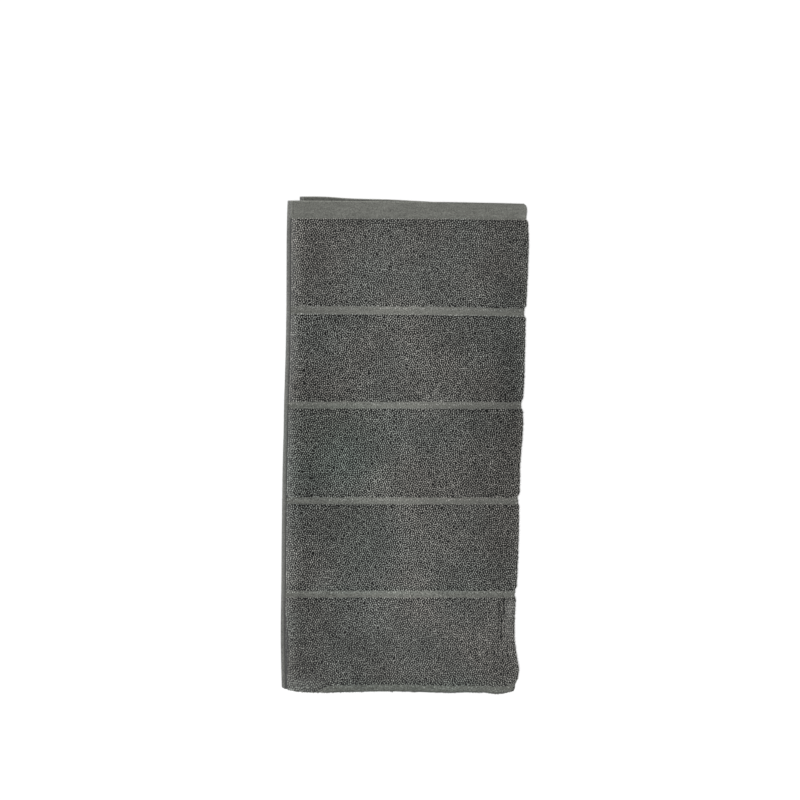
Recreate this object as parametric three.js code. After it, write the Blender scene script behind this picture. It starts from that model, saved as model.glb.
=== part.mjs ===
// A terry bath towel for the sauna, folded in half lengthwise and then in half across, lying flat.
// Millimetres. +Y runs from the bottom fold to the end hems, +X from the side hems to the
// lengthwise fold, +Z up. The origin is the middle of the footprint, on the surface it lies on.

import * as THREE from "three";

// The cloth laid flat: its width, and the woven sections from one end hem to the middle band.
const FLAT_WIDTH = 666;
const HALF_SECTIONS = [
  { weave: "hem", length: 24.4 },
  { weave: "terry", length: 126.3 },
  { weave: "band", length: 9.7 },
  { weave: "terry", length: 126.3 },
  { weave: "band", length: 9.7 },
  { weave: "terry", length: 126.6 },
  { weave: "band", length: 9.7 },
  { weave: "terry", length: 123.3 },
  { weave: "band", length: 9.7 },
  { weave: "terry", length: 126.4 },
];
const MIDDLE_BAND_LENGTH = 9.7;

// How thick each weave is, and how far it sinks below the middle of the terry when folded.
const WEAVES = {
  terry: { thickness: 3.0, sunk: 0 },
  band: { thickness: 1.5, sunk: 0.6 },
  hem: { thickness: 2.4, sunk: 0 },
};
const SIDE_HEM_WIDTH = 6;
const SIDE_HEM_THICKNESS = 2.0;

// Edges and steps of the cloth.
const PILE_STEP = 2.5;
const SIDE_STEP = 1.5;
const RIM_ROUND = 1.2;
const RIM_SHARE = 0.6;
const BULGE_RUN = 9;

// The two folds. The layers lie this far apart, middle to middle, with half a millimetre of air.
const LAYER_PITCH = 3.5;
const FRONT_WIDTH = 341;
const FRONT_LENGTH = 703.9;
const BAND_PULL = 2.1;

// Outline of the folded towel. `down` is the distance below the front hem's end, `side` and
// `turn` are where the side hem and the lengthwise fold lie, from the towel's long axis. The
// weave runs down from the side hem to the fold by `slope` evenly and by `drop` near the fold.
const OUTLINE = [
  { down: 0, side: -167.6, turn: 173.2, slope: 2.8, drop: 1.2 },
  { down: 5, side: -167.8, turn: 176.2, slope: 2.4, drop: 1.2 },
  { down: 26, side: -168.4, turn: 176.6, slope: 0.2, drop: 1.6 },
  { down: 54, side: -168.9, turn: 177.0, slope: 0, drop: 3.0 },
  { down: 105, side: -169.1, turn: 175.4, slope: 0, drop: 3.8 },
  { down: 155, side: -169.3, turn: 173.4, slope: 0, drop: 3.8 },
  { down: 205, side: -170.1, turn: 172.2, slope: 0, drop: 1.8 },
  { down: 245, side: -171.2, turn: 170.8, slope: 0, drop: 0.8 },
  { down: 290, side: -172.6, turn: 168.5, slope: 0, drop: 0.7 },
  { down: 330, side: -173.3, turn: 168.5, slope: 0, drop: 0.6 },
  { down: 366, side: -174.3, turn: 165.2, slope: 0, drop: 0.5 },
  { down: 384, side: -174.7, turn: 164.6, slope: 0, drop: 0.5 },
  { down: 445, side: -175.6, turn: 163.2, slope: 0, drop: 0.5 },
  { down: 500, side: -176.2, turn: 161.9, slope: 0, drop: 0.4 },
  { down: 545, side: -176.5, turn: 160.0, slope: 0, drop: 0.3 },
  { down: 590, side: -177.2, turn: 157.1, slope: 0, drop: 0 },
  { down: 626, side: -177.4, turn: 156.8, slope: 0, drop: 0 },
  { down: 652, side: -177.0, turn: 160.0, slope: 0, drop: 0 },
  { down: 672, side: -176.7, turn: 163.0, slope: 0, drop: 0 },
  { down: 684, side: -176.4, turn: 161.4, slope: 0, drop: 0 },
  { down: 696, side: -176.1, turn: 157.0, slope: 0, drop: 0 },
];

// How far the back half's edges lie inside the front half's, once clear of the bottom fold.
const BACK_INSET = { side: 1.5, turn: 4.6, run: 90 };

// How far the bottom fold reaches past its straight line, from the side hem to the turned corner.
const BOTTOM_LINE = [
  { x: -177, reach: -8.0 },
  { x: -170, reach: -4.6 },
  { x: -161, reach: -2.0 },
  { x: -145, reach: -0.2 },
  { x: -125, reach: 0.6 },
  { x: -92, reach: -0.2 },
  { x: -16, reach: -1.4 },
  { x: 61, reach: 0.4 },
  { x: 112, reach: 0.2 },
  { x: 130, reach: 3.4 },
  { x: 139, reach: 2.8 },
  { x: 148, reach: -0.4 },
  { x: 158, reach: -3.4 },
];
const BOTTOM_RUN = 70;

// How far the inner layers' hems slip out past the front one, from their side hems to the fold,
// where the slip fades out over a short run.
const HEM_SLIP = [
  { x: -152, out: 5.6 },
  { x: -110, out: 5.7 },
  { x: -93, out: 4.6 },
  { x: -76, out: 3.6 },
  { x: -50, out: 3.1 },
  { x: -16, out: 2.7 },
  { x: 10, out: 1.6 },
  { x: 36, out: 0.6 },
  { x: 60, out: -0.6 },
  { x: 130, out: -1.0 },
  { x: 165, out: 0 },
];
const SLIP_RUN = 10;

// Where the top layers hang past shorter ones and sink: at the side hem, between two places
// across, and at the hems' end, between two places along from it. The sinking starts
// `BACK_TOP` below the stack's middle and is whole `rise` higher.
const SIDE_DROOP = { depth: 3.0, from: -149, to: -176, rise: 7.2 };
const TOP_DROOP = { depth: 1.6, from: -17, to: 4, rise: 4.0 };
const BACK_TOP = 3.7;

// Soft swells and hollows of the top, each a round hill of the given reach and height.
const SWELLS = [
  { x: -60, y: 250, reach: 75, height: 0.5 },
  { x: 95, y: 130, reach: 80, height: 0.6 },
  { x: -110, y: 20, reach: 70, height: -0.5 },
  { x: 40, y: -30, reach: 90, height: 0.6 },
  { x: -40, y: -190, reach: 85, height: -0.6 },
  { x: 110, y: -250, reach: 45, height: -0.9 },
  { x: 130, y: -320, reach: 40, height: 0.9 },
  { x: -150, y: -320, reach: 50, height: -0.8 },
];

// Number of faces round each fold and along a field. The columns beside the lengthwise fold are
// the same on both layers, so that their long faces lie over each other.
const TURN_FACES = 6;
const INNER_TURN_FACES = 6;
const OUTER_TURN_FACES = 6;
const FIELD_FACES = 3;
const COLUMNS_FROM_TURN = [0, 9, 22, 44, 130, 225, 315];
const HEM_CORNER = 5;
const SMALLEST_STEP = 0.5;

const FLAT_LENGTH =
  2 * HALF_SECTIONS.reduce((sum, section) => sum + section.length, 0) + MIDDLE_BAND_LENGTH;
const TURN_RADIUS = LAYER_PITCH / 2;
const TURN_ARC = Math.PI * TURN_RADIUS;
const STACK_RADIUS = LAYER_PITCH;
const OUTER_RADIUS = STACK_RADIUS + TURN_RADIUS;
const INNER_RADIUS = STACK_RADIUS - TURN_RADIUS;
const MIDDLE_HEIGHT = OUTER_RADIUS + WEAVES.terry.thickness / 2;
const STACK_HEIGHT = 2 * MIDDLE_HEIGHT;

const mix = THREE.MathUtils.lerp;
const clampShare = (value) => THREE.MathUtils.clamp(value, 0, 1);
const ramp = (value, from, to) => clampShare((value - from) / (to - from));
const softRamp = (value, from, to) => THREE.MathUtils.smoothstep(ramp(value, from, to), 0, 1);

// A smooth curve through one column of a table, held at its end values outside it.
function curveThrough(rows, alongColumn, valueColumn) {
  const along = Float64Array.from(rows, (row) => row[alongColumn]);
  const values = Float64Array.from(rows, (row) => row[valueColumn]);
  const curve = new THREE.CubicInterpolant(along, values, 1, new Float64Array(1));
  return (at) => curve.evaluate(at)[0];
}

const sideAt = curveThrough(OUTLINE, "down", "side");
const turnAt = curveThrough(OUTLINE, "down", "turn");
const slopeAt = curveThrough(OUTLINE, "down", "slope");
const dropAt = curveThrough(OUTLINE, "down", "drop");
const bottomReachAt = curveThrough(BOTTOM_LINE, "x", "reach");
const hemSlipAt = curveThrough(HEM_SLIP, "x", "out");

// The woven sections of the whole cloth, each with where it starts and ends along the length.
function wovenSections() {
  const middle = { weave: "band", length: MIDDLE_BAND_LENGTH };
  const order = [...HALF_SECTIONS, middle, ...[...HALF_SECTIONS].reverse()];
  let start = 0;
  return order.map(({ weave, length }) => {
    const section = { weave, start, end: start + length };
    start += length;
    return section;
  });
}

const SECTIONS = wovenSections();

// The section at a place along the cloth, and the terry's share there: 1 in a field, falling
// to 0 over `run` millimetres at the flat weave beside it.
function weaveAt(along, run) {
  const section = SECTIONS.find(({ end }) => along <= end) ?? SECTIONS.at(-1);
  if (section.weave !== "terry") {
    return { flat: WEAVES[section.weave], terryShare: 0 };
  }
  const index = SECTIONS.indexOf(section);
  const fromStart = along - section.start;
  const fromEnd = section.end - along;
  const neighbour = SECTIONS[fromStart < fromEnd ? index - 1 : index + 1];
  return {
    flat: WEAVES[neighbour.weave],
    terryShare: softRamp(Math.min(fromStart, fromEnd), 0, run),
  };
}

// Thickness of the cloth, and how far its middle sinks inwards, at a place on the flat cloth.
function clothAt(across, along) {
  const { flat, terryShare } = weaveAt(along, PILE_STEP);
  const fromSide = Math.min(across, FLAT_WIDTH - across);
  const fromEnd = Math.min(along, FLAT_LENGTH - along);
  const bodyShare = ramp(fromSide, SIDE_HEM_WIDTH, SIDE_HEM_WIDTH + SIDE_STEP);
  const woven = mix(flat.thickness, WEAVES.terry.thickness, terryShare);
  const rim = mix(RIM_SHARE, 1, ramp(Math.min(fromSide, fromEnd), 0, RIM_ROUND));
  return {
    thickness: mix(SIDE_HEM_THICKNESS, woven, bodyShare) * rim,
    sunk: flat.sunk * (1 - terryShare) * bodyShare,
  };
}

// Where a point lies after the fold across. `lift` is its height over the middle of a folded
// pair, `radius` the radius at which its layer goes round the fold, and `slip` how far its
// layer's hem ends past the front one.
function foldAcross(along, lift, radius, slip) {
  const fromFold = along - FRONT_LENGTH;
  const quarter = (Math.PI * radius) / 2;
  const side = fromFold < 0 ? 1 : -1;
  const reach = STACK_RADIUS + lift;
  if (Math.abs(fromFold) < quarter) {
    const angle = Math.abs(fromFold) / radius;
    return { up: -reach * Math.cos(angle), height: side * reach * Math.sin(angle) };
  }
  const clothEnd = fromFold < 0 ? FRONT_LENGTH : FLAT_LENGTH - FRONT_LENGTH;
  const outerEnd = clothEnd - (Math.PI * OUTER_RADIUS) / 2;
  const straight = (Math.abs(fromFold) - quarter) / (clothEnd - quarter);
  return { up: straight * (outerEnd + slip), height: side * reach };
}

// How far the straight part of the front layer reaches above the middle of the bottom fold.
const TOP_LINE = FRONT_LENGTH - (Math.PI * OUTER_RADIUS) / 2;

// Space is bent a little to the outline of the bottom fold and the slope of the weave.
function settleInPlan(point) {
  const down = TOP_LINE - point.y;
  const nearBottom = softRamp(down, TOP_LINE - BOTTOM_RUN, TOP_LINE);
  const acrossShare = clampShare((point.x - sideAt(down)) / (turnAt(down) - sideAt(down)));
  point.y -= bottomReachAt(point.x) * nearBottom;
  point.y -= slopeAt(down) * acrossShare + dropAt(down) * acrossShare ** 3;
}

// The top layers sink where nothing carries them, and the top swells and dips a little.
function settleInHeight(point) {
  const overMiddle = point.z - MIDDLE_HEIGHT;
  const sink = ({ depth, from, to, rise }, place) =>
    depth * softRamp(place, from, to) * ramp(overMiddle, -BACK_TOP, rise - BACK_TOP);
  point.z -= sink(SIDE_DROOP, point.x) + sink(TOP_DROOP, point.y - TOP_LINE);
  const swell = SWELLS.reduce((sum, hill) => {
    const away = Math.hypot(point.x - hill.x, point.y - TOP_LINE / 2 - hill.y);
    return sum + hill.height * Math.exp(-((away / hill.reach) ** 2));
  }, 0);
  point.z *= 1 + swell / STACK_HEIGHT;
}

// A point of the folded towel from its place on the flat cloth. `face` is 1 on the outside of
// the lengthwise fold and -1 on its inside.
function foldedPoint(across, along, face) {
  const { thickness, sunk } = clothAt(across, along);
  const outward = (face * thickness) / 2 - sunk;
  const fromTurn = across - FRONT_WIDTH;
  const angle = THREE.MathUtils.clamp(fromTurn / TURN_RADIUS, -Math.PI / 2, Math.PI / 2);
  const lift = -(TURN_RADIUS + outward) * Math.sin(angle);
  const radius = STACK_RADIUS - TURN_RADIUS * Math.sin(angle);
  const pull = BAND_PULL * (1 - weaveAt(along, BULGE_RUN).terryShare);
  const straight = Math.max(Math.abs(fromTurn) - TURN_ARC / 2, 0);
  const slip = fromTurn > 0 ? hemSlipAt(turnAt(0) - straight) * ramp(straight, 0, SLIP_RUN) : 0;
  const { up, height } = foldAcross(along, lift, radius, slip);
  const down = TOP_LINE - up;
  const tuck = along > FRONT_LENGTH ? softRamp(up, 0, BACK_INSET.run) : 0;
  const turn = turnAt(down) - BACK_INSET.turn * tuck - pull;
  const turnMiddle = turn - TURN_RADIUS - WEAVES.terry.thickness / 2;
  const frontSpan = FRONT_WIDTH - TURN_ARC / 2;
  const side = sideAt(down) + BACK_INSET.side * tuck;
  const stretch = fromTurn < 0 ? (turnMiddle - side) / frontSpan : 1;
  const x = turnMiddle - straight * stretch + (TURN_RADIUS + outward) * Math.cos(angle);
  const point = new THREE.Vector3(x, up, MIDDLE_HEIGHT + height);
  settleInPlan(point);
  settleInHeight(point);
  return point;
}

// Places in order, without those that come too close after another.
function spaced(places) {
  return [...places]
    .sort((a, b) => a - b)
    .filter((place, i, all) => i === 0 || place - all[i - 1] > SMALLEST_STEP);
}

const evenly = (from, to, faces) =>
  Array.from({ length: faces + 1 }, (_, i) => mix(from, to, i / faces));

// Where the mesh has its columns, across the flat cloth.
function columns() {
  const edge = [0, RIM_ROUND, SIDE_HEM_WIDTH, SIDE_HEM_WIDTH + SIDE_STEP];
  const turnStart = FRONT_WIDTH - TURN_ARC / 2;
  const turnEnd = FRONT_WIDTH + TURN_ARC / 2;
  const firstColumn = turnStart - COLUMNS_FROM_TURN.at(-1);
  return spaced([
    ...edge,
    (edge.at(-1) + firstColumn) / 2,
    ...COLUMNS_FROM_TURN.map((place) => turnStart - place),
    ...evenly(turnStart, turnEnd, TURN_FACES).slice(1, -1),
    ...COLUMNS_FROM_TURN.slice(0, -1).map((place) => turnEnd + place),
    ...edge.map((place) => FLAT_WIDTH - place),
  ]);
}

// Where the mesh has its rows, along the flat cloth.
function rows() {
  const fields = SECTIONS.filter(({ weave }) => weave === "terry").flatMap(({ start, end }) => [
    start,
    start + PILE_STEP,
    ...evenly(start + BULGE_RUN, end - BULGE_RUN, FIELD_FACES),
    end - PILE_STEP,
    end,
  ]);
  const innerArc = (Math.PI * INNER_RADIUS) / 2;
  const outerArc = (Math.PI * OUTER_RADIUS) / 2;
  const fold = [
    ...evenly(-innerArc, innerArc, INNER_TURN_FACES),
    ...evenly(innerArc, outerArc, OUTER_TURN_FACES / 2).slice(1),
    ...evenly(-outerArc, -innerArc, OUTER_TURN_FACES / 2).slice(0, -1),
  ].map((place) => FRONT_LENGTH + place);
  const clearOfFold = fields.filter((place) => Math.abs(place - FRONT_LENGTH) > outerArc + SMALLEST_STEP);
  const hem = [0, RIM_ROUND, HEM_CORNER, HALF_SECTIONS[0].length];
  return spaced([...hem, ...clearOfFold, ...fold, ...hem.map((place) => FLAT_LENGTH - place)]);
}

// One closed sheet of cloth: its outside, its inside and the rim between them.
function foldedTowelGeometry() {
  const acrossPlaces = columns();
  const alongPlaces = rows();
  const wide = acrossPlaces.length;
  const long = alongPlaces.length;
  const points = [1, -1].flatMap((face) =>
    alongPlaces.flatMap((along) => acrossPlaces.map((across) => foldedPoint(across, along, face))),
  );
  const index = [];
  const outside = (row, column) => row * wide + column;
  const inside = (row, column) => wide * long + row * wide + column;
  const quad = (a, b, c, d) => index.push(a, b, c, a, c, d);
  for (let row = 0; row + 1 < long; row++) {
    for (let column = 0; column + 1 < wide; column++) {
      quad(
        outside(row, column),
        outside(row + 1, column),
        outside(row + 1, column + 1),
        outside(row, column + 1),
      );
      quad(
        inside(row, column),
        inside(row, column + 1),
        inside(row + 1, column + 1),
        inside(row + 1, column),
      );
    }
  }
  for (let row = 0; row + 1 < long; row++) {
    const last = wide - 1;
    quad(outside(row, 0), inside(row, 0), inside(row + 1, 0), outside(row + 1, 0));
    quad(outside(row, last), outside(row + 1, last), inside(row + 1, last), inside(row, last));
  }
  for (let column = 0; column + 1 < wide; column++) {
    const last = long - 1;
    quad(outside(0, column), outside(0, column + 1), inside(0, column + 1), inside(0, column));
    quad(
      outside(last, column),
      inside(last, column),
      inside(last, column + 1),
      outside(last, column + 1),
    );
  }
  const geometry = new THREE.BufferGeometry().setFromPoints(points);
  geometry.setIndex(index);
  geometry.computeBoundingBox();
  const middle = geometry.boundingBox.getCenter(new THREE.Vector3());
  geometry.translate(-middle.x, -middle.y, 0);
  geometry.computeVertexNormals();
  return geometry;
}

const terryGrey = new THREE.MeshStandardMaterial({ color: 0x5a5b58, roughness: 0.96, metalness: 0 });

const towel = new THREE.Mesh(foldedTowelGeometry(), terryGrey);
towel.name = "towel_cloth";

const foldedTowel = new THREE.Group();
foldedTowel.add(towel);

export default foldedTowel;
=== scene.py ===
"""A folded sauna towel of cotton terry: its cloth, pile and seams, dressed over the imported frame.

Sizes are millimetres on the flat cloth or in the folded stack, and metres only in the meshes.
`across` runs over the flat cloth from the top layer's side hem, `along` runs down it from the
top layer's end hem, and `outward` is the height over the cloth's middle, towards the outside
of the lengthwise fold.
"""

import logging
import math
from dataclasses import dataclass, field
from enum import Enum, IntEnum

import bpy
import numpy as np
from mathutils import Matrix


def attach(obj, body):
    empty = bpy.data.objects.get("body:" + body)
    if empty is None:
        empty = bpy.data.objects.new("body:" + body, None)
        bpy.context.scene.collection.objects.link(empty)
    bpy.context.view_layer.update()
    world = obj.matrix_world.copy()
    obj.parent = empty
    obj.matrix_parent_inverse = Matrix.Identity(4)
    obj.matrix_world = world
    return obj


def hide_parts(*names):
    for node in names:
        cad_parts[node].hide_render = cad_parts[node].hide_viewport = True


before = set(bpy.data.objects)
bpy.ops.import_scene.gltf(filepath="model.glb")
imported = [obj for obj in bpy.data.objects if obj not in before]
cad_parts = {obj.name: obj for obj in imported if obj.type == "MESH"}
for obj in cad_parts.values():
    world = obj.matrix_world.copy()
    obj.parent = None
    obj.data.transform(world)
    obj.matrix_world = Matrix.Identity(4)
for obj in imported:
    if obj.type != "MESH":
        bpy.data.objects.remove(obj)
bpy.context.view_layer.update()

LOG = logging.getLogger("towel")
MM = 0.001
COTTON_SHINE = {"Specular IOR Level": 0.12}
COTTON_SHEEN = {**COTTON_SHINE, "Sheen Weight": 0.06}
# A hair's breadth, within which two places count as one.
HAIR = 0.1
# The least height of pile and thread, so that none goes through what the towel lies on.
OVER_FLOOR = 0.05
# The range in which nearly all of a noise's values lie.
NOISE_RANGE = (0.3, 0.7)
Colour = tuple[float, float, float, float]
GREEN_TINT: Colour = (0.905, 1.0, 0.97, 1.0)


def table(columns: str, *rows: tuple[float, ...]) -> dict[str, np.ndarray]:
    """Turns rows of numbers into named columns.

    Args:
        columns: The columns' names, apart by spaces.
        rows: One tuple of numbers a row, in the columns' order.

    Returns:
        Each column's numbers by its name.
    """
    names = columns.split()
    return {name: np.array([row[i] for row in rows], float) for i, name in enumerate(names)}


# Outline of the folded towel, `down` from the front hem's end: where the side hem and the
# lengthwise fold lie, and how far the weave runs down evenly and near the fold.
OUTLINE = table(
    "down side turn slope drop",
    (0, -167.6, 173.2, 2.8, 2.1),
    (5, -167.8, 176.2, 2.4, 1.2),
    (26, -168.4, 175.8, 0.2, 1.6),
    (54, -168.9, 177.0, 0, 3.0),
    (105, -169.1, 175.4, 0, 3.8),
    (155, -169.3, 172.9, 0, 3.8),
    (205, -170.1, 171.6, 0, 1.8),
    (245, -171.2, 170.8, 0, 0.8),
    (290, -172.6, 168.5, 0, 0.7),
    (330, -173.3, 168.5, 0, 0.6),
    (366, -174.3, 165.2, 0, 0.5),
    (384, -174.7, 164.6, 0, 0.5),
    (445, -175.6, 163.2, 0, 0.5),
    (500, -176.2, 161.9, 0, 0.4),
    (545, -176.5, 160.0, 0, 0.3),
    (590, -177.2, 157.1, 0, 0),
    (626, -177.4, 156.8, 0, 0),
    (652, -177.0, 160.0, 0, 0),
    (672, -176.7, 163.0, 0, 0),
    (684, -176.4, 161.4, 0, 0),
    (696, -176.1, 157.0, 0, 0),
)

# How far the bottom fold reaches past its straight line.
BOTTOM_LINE = table(
    "x reach",
    (-177, -8.0),
    (-170, -4.6),
    (-161, -2.0),
    (-145, -0.2),
    (-125, 0.6),
    (-92, -0.2),
    (-16, -1.4),
    (61, 0.4),
    (112, 0.2),
    (130, 2.0),
    (139, 1.7),
    (148, -0.4),
    (158, -3.4),
)

# How far the inner layers' end hems slip out past the front one.
HEM_SLIP = table(
    "x out",
    (-152, 5.9),
    (-110, 6.0),
    (-93, 5.1),
    (-76, 4.0),
    (-50, 3.3),
    (-16, 2.9),
    (10, 1.8),
    (36, 0.8),
    (60, -0.6),
    (130, -1.0),
    (165, 0),
)

# Soft swells and hollows of the top.
SWELLS = table(
    "x y reach height",
    (-60, 250, 75, 0.5),
    (95, 130, 80, 0.6),
    (-110, 20, 70, -0.5),
    (40, -30, 90, 0.6),
    (-40, -190, 85, -0.6),
    (110, -250, 45, -0.9),
    (130, -320, 40, 0.9),
    (-150, -320, 50, -0.8),
)

# Lines where the pile rows of the top part and show their roots, lower and with painted shade: an
# upright line at `x`, from `top` to `bottom`, this wide, opened by `share` of the pile.
PARTINGS = table(
    "x top bottom width share",
    (140.8, -215, -238, 1.1, 1.0),
    (136.6, -215, -232, 0.9, 0.4),
    (133.6, -226, -248, 1.1, 0.7),
    (137.0, -241, -277, 1.1, 0.7),
    (133.0, -255, -300, 1.0, 0.5),
    (139.5, -290, -330, 1.0, 0.4),
    (-168.0, -262, -322, 1.4, 0.9),
)

# Places where the pile lies pressed down and smoother, by their middle and how far they reach.
PRESSED = table(
    "x y reach_x reach_y share",
    (150, -233, 5, 13, 0.95),
    (149, -262, 6, 14, 0.65),
    (-146, -344, 22, 14, 0.6),
    (-163, -290, 5, 58, 0.2),
    (-120, -190, 16, 16, 0.25),
    (40, 60, 20, 20, 0.2),
    (90, -80, 18, 18, 0.2),
    (0, 285, 400, 75, 0.1),
    (0, -290, 400, 75, 0.1),
)

# Broad soft places where the cloth is painted lighter, or darker where the share is under 0:
# painted light down the swelling middle, painted shade towards both ends and along the
# rounded fold, among patches of the cloth's own uneven tone.
LIGHTER = table(
    "x y reach_x reach_y share",
    (-14, 5, 78, 320, 0.40),
    (0, 245, 200, 85, 0.07),
    (80, 265, 50, 80, 0.12),
    (-115, 285, 50, 45, 0.16),
    (65, -150, 50, 50, 0.16),
    (-60, -150, 30, 45, 0.08),
    (15, -230, 80, 50, 0.12),
    (90, -300, 70, 70, 0.16),
    (-160, -290, 14, 60, -0.24),
    (-165, 270, 12, 60, -0.08),
    (152, -262, 10, 24, -0.14),
    (140, -325, 24, 24, 0.06),
    (0, -346, 170, 11, -0.03),
    (0, 285, 400, 66, -0.13),
    (0, -288, 400, 66, -0.12),
    (-130, -10, 34, 60, -0.08),
    (-125, 130, 40, 60, -0.06),
    (-128, -138, 25, 50, -0.08),
    (32, 285, 18, 75, -0.07),
    (-136, -310, 24, 30, 0.1),
    (152, 60, 20, 130, -0.22),
)

# The closed corner of an end hem: how much lighter the cloth is beside its groove, with painted
# shade in the groove and a painted highlight on the ridge beside it.
CORNER = table(
    "from_side lighter",
    (0, 0.12),
    (5.2, 0.12),
    (6.1, 0.26),
    (7.5, 0.24),
    (8.6, -0.26),
    (9.7, 0.04),
    (14, 0.0),
)

# Broad soft places where the cloth's grey is a little greener.
GREENER = table(
    "x y reach_x reach_y share",
    (-95, -2, 68, 62, 1.0),
    (-70, -130, 34, 50, 0.5),
    (0, -345, 160, 12, 0.6),
    (0, -205, 200, 7, 0.35),
)

# Faint slanting wrinkles of the front hem, painted as lighter lines of highlight: a line through x
# and y that leans over to the right.
WRINKLES = table(
    "x y lean width share",
    (-34, 340, 0.35, 7, 0.14),
    (-82, 340, 0.46, 9, 0.08),
    (130, 336, -0.3, 14, 0.04),
)


def share_of(value: np.ndarray, start: float, end: float) -> np.ndarray:
    """How far each value is from start to end, from 0 to 1."""
    return np.clip((value - start) / (end - start), 0.0, 1.0)


def soft_share(value: np.ndarray, start: float, end: float) -> np.ndarray:
    """How far each value is from start to end, from 0 to 1, easing in and out."""
    share = share_of(value, start, end)
    return share * share * (3.0 - 2.0 * share)


def blend(first: np.ndarray, second: np.ndarray, share: np.ndarray) -> np.ndarray:
    """A mix of two values, all of the second where the share is 1."""
    return first + (second - first) * share


def soft_places(rows: dict[str, np.ndarray], x: np.ndarray, y: np.ndarray) -> np.ndarray:
    """How strongly the soft places of a table tell at points of the folded towel.

    Args:
        rows: The table, with the columns x, y, reach_x, reach_y and share.
        x: The points' x.
        y: Their y.

    Returns:
        The sum of the places' shares at each point.
    """
    total = np.zeros_like(x)
    for middle_x, middle_y, reach_x, reach_y, share in zip(*rows.values()):
        near = ((x - middle_x) / reach_x) ** 2 + ((y - middle_y) / reach_y) ** 4
        total += share * np.exp(-near)
    return total


class Curve:
    """A smooth curve through one column of a table, held at its end values outside it."""

    def __init__(self, rows: dict[str, np.ndarray], place: str, value: str) -> None:
        """Takes the column of places and the column of values.

        Args:
            rows: A table.
            place: The column that the curve runs along.
            value: The column that it gives.
        """
        self.places, self.values = rows[place], rows[value]
        slopes = np.diff(self.values) / np.diff(self.places)
        self.tangents = np.concatenate(
            ([slopes[0]], (slopes[:-1] + slopes[1:]) / 2, [slopes[-1]])
        )

    def __call__(self, at: np.ndarray) -> np.ndarray:
        """The curve's values at these places."""
        at = np.clip(at, self.places[0], self.places[-1])
        i = np.clip(np.searchsorted(self.places, at, "right") - 1, 0, len(self.places) - 2)
        span = self.places[i + 1] - self.places[i]
        p = (at - self.places[i]) / span
        q = 1.0 - p
        ends = self.values[i] * (1 + 2 * p) * q * q + self.values[i + 1] * p * p * (3 - 2 * p)
        return ends + span * p * q * (self.tangents[i] * q - self.tangents[i + 1] * p)


def outline(name: str, down: np.ndarray) -> np.ndarray:
    """One column of the outline, at places down from the front hem's end."""
    return Curve(OUTLINE, "down", name)(down)


class Weave(Enum):
    """How a section of the cloth is woven, with its thickness and how deep its middle lies."""

    TERRY = (3.0, 0.0)
    BAND = (1.5, 0.6)
    HEM = (2.4, 0.0)

    @property
    def thickness(self) -> float:
        """Thickness of the cloth, pile included."""
        return self.value[0]

    @property
    def sunk(self) -> float:
        """How far its middle lies under the middle of the terry."""
        return self.value[1]


@dataclass(frozen=True)
class Section:
    """One woven section, across the whole cloth."""

    weave: Weave
    start: float
    end: float


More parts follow.
